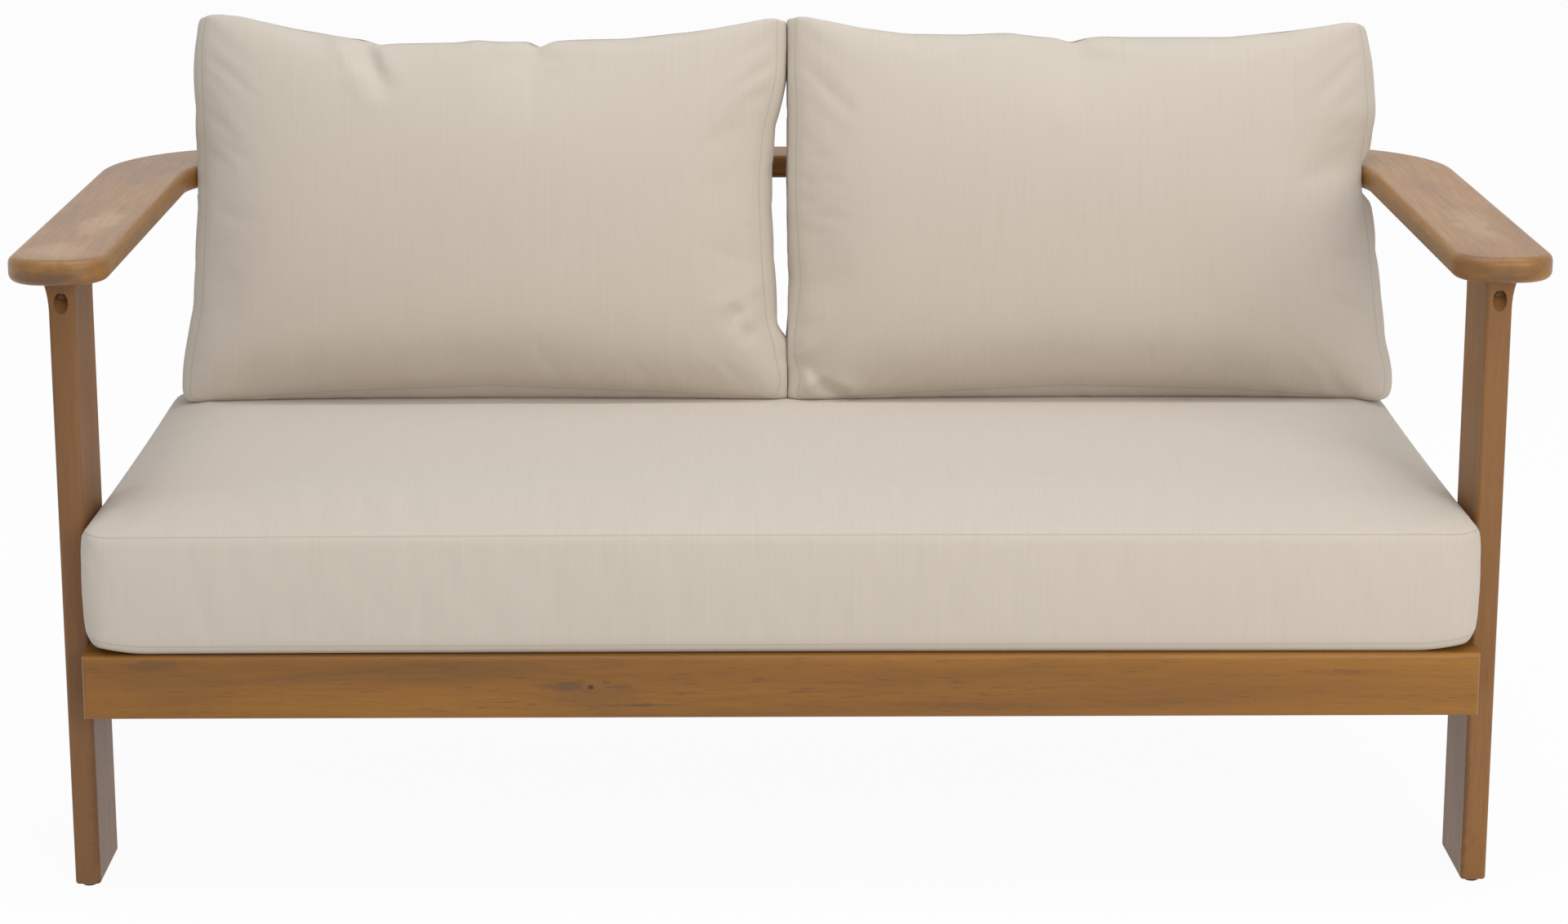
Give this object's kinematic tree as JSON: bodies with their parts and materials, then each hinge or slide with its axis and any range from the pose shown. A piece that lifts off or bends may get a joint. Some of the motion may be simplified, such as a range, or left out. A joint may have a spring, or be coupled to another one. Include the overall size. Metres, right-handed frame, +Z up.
{
  "type": "patio loveseat",
  "caption": "Low wooden outdoor loveseat with flat board legs, arms that sweep into a back rail, one thick seat cushion and a pair of loose back cushions.",
  "frame": {"origin": "on the floor, under the middle of the whole piece, where the box's bottom centre is", "axes": "+Z up, +X along the seat towards the right arm as seen from the front, -Y towards the front"},
  "size_m": [1.5, 0.686, 0.816],
  "materials": {
    "acacia": "satin oil",
    "dowel_beech": "bare",
    "cover_fabric": "woven, slubbed, matte",
    "cushion_insert": "foam and fibre",
    "glide_plastic": "matte",
    "steel": "zinc plated"
  },
  "bodies": {
    "frame": {"apron_back": "acacia", "apron_front": "acacia", "apron_side_left": "acacia", "apron_side_right": "acacia", "arm_left": "acacia", "arm_right": "acacia", "arm_screws": "steel", "back_leg_left": "acacia", "back_leg_right": "acacia", "back_rail": "acacia", "back_slat_01": "acacia", "back_slat_02": "acacia", "back_slat_03": "acacia", "back_slat_04": "acacia", "back_slat_05": "acacia", "back_slat_06": "acacia", "back_slat_07": "acacia", "back_slat_08": "acacia", "back_slat_09": "acacia", "back_slat_10": "acacia", "back_slat_dowels": "dowel_beech", "bolt_washers": "steel", "center_bearer": "acacia", "corner_block_back_left": "acacia", "corner_block_back_right": "acacia", "corner_block_front_left": "acacia", "corner_block_front_right": "acacia", "corner_block_screws": "steel", "foot_glides": "glide_plastic", "frame_dowels": "dowel_beech", "front_leg_left": "acacia", "front_leg_right": "acacia", "ledger_back_left": "acacia", "ledger_back_right": "acacia", "ledger_front_left": "acacia", "ledger_front_right": "acacia", "ledger_screws": "steel", "leg_bolts": "steel", "leg_inserts": "steel", "seat_slat_01": "acacia", "seat_slat_02": "acacia", "seat_slat_03": "acacia", "seat_slat_04": "acacia", "seat_slat_05": "acacia", "seat_slat_06": "acacia", "seat_slat_07": "acacia", "seat_slat_08": "acacia", "seat_slat_09": "acacia", "seat_slat_10": "acacia", "seat_slat_11": "acacia", "seat_slat_12": "acacia", "seat_slat_13": "acacia", "seat_slat_screws": "steel"},
    "seat_cushion": {"seat_cushion_cover": "cover_fabric", "seat_cushion_foam": "cushion_insert"},
    "back_cushion_left": {"back_cushion_cover_left": "cover_fabric", "back_cushion_filling_left": "cushion_insert"},
    "back_cushion_right": {"back_cushion_cover_right": "cover_fabric", "back_cushion_filling_right": "cushion_insert"}
  },
  "joints": [
    {"name": "seat_cushion_slide", "type": "slide", "parent": "frame", "child": "seat_cushion", "axis": [0, -1, 0], "range_m": [0, 0.62]},
    {"name": "back_cushion_left_lift", "type": "slide", "parent": "frame", "child": "back_cushion_left", "axis": [0, 0.1392, 0.9903], "range_m": [0, 0.3]},
    {"name": "back_cushion_right_lift", "type": "slide", "parent": "frame", "child": "back_cushion_right", "axis": [0, 0.1392, 0.9903], "range_m": [0, 0.3]}
  ]
}
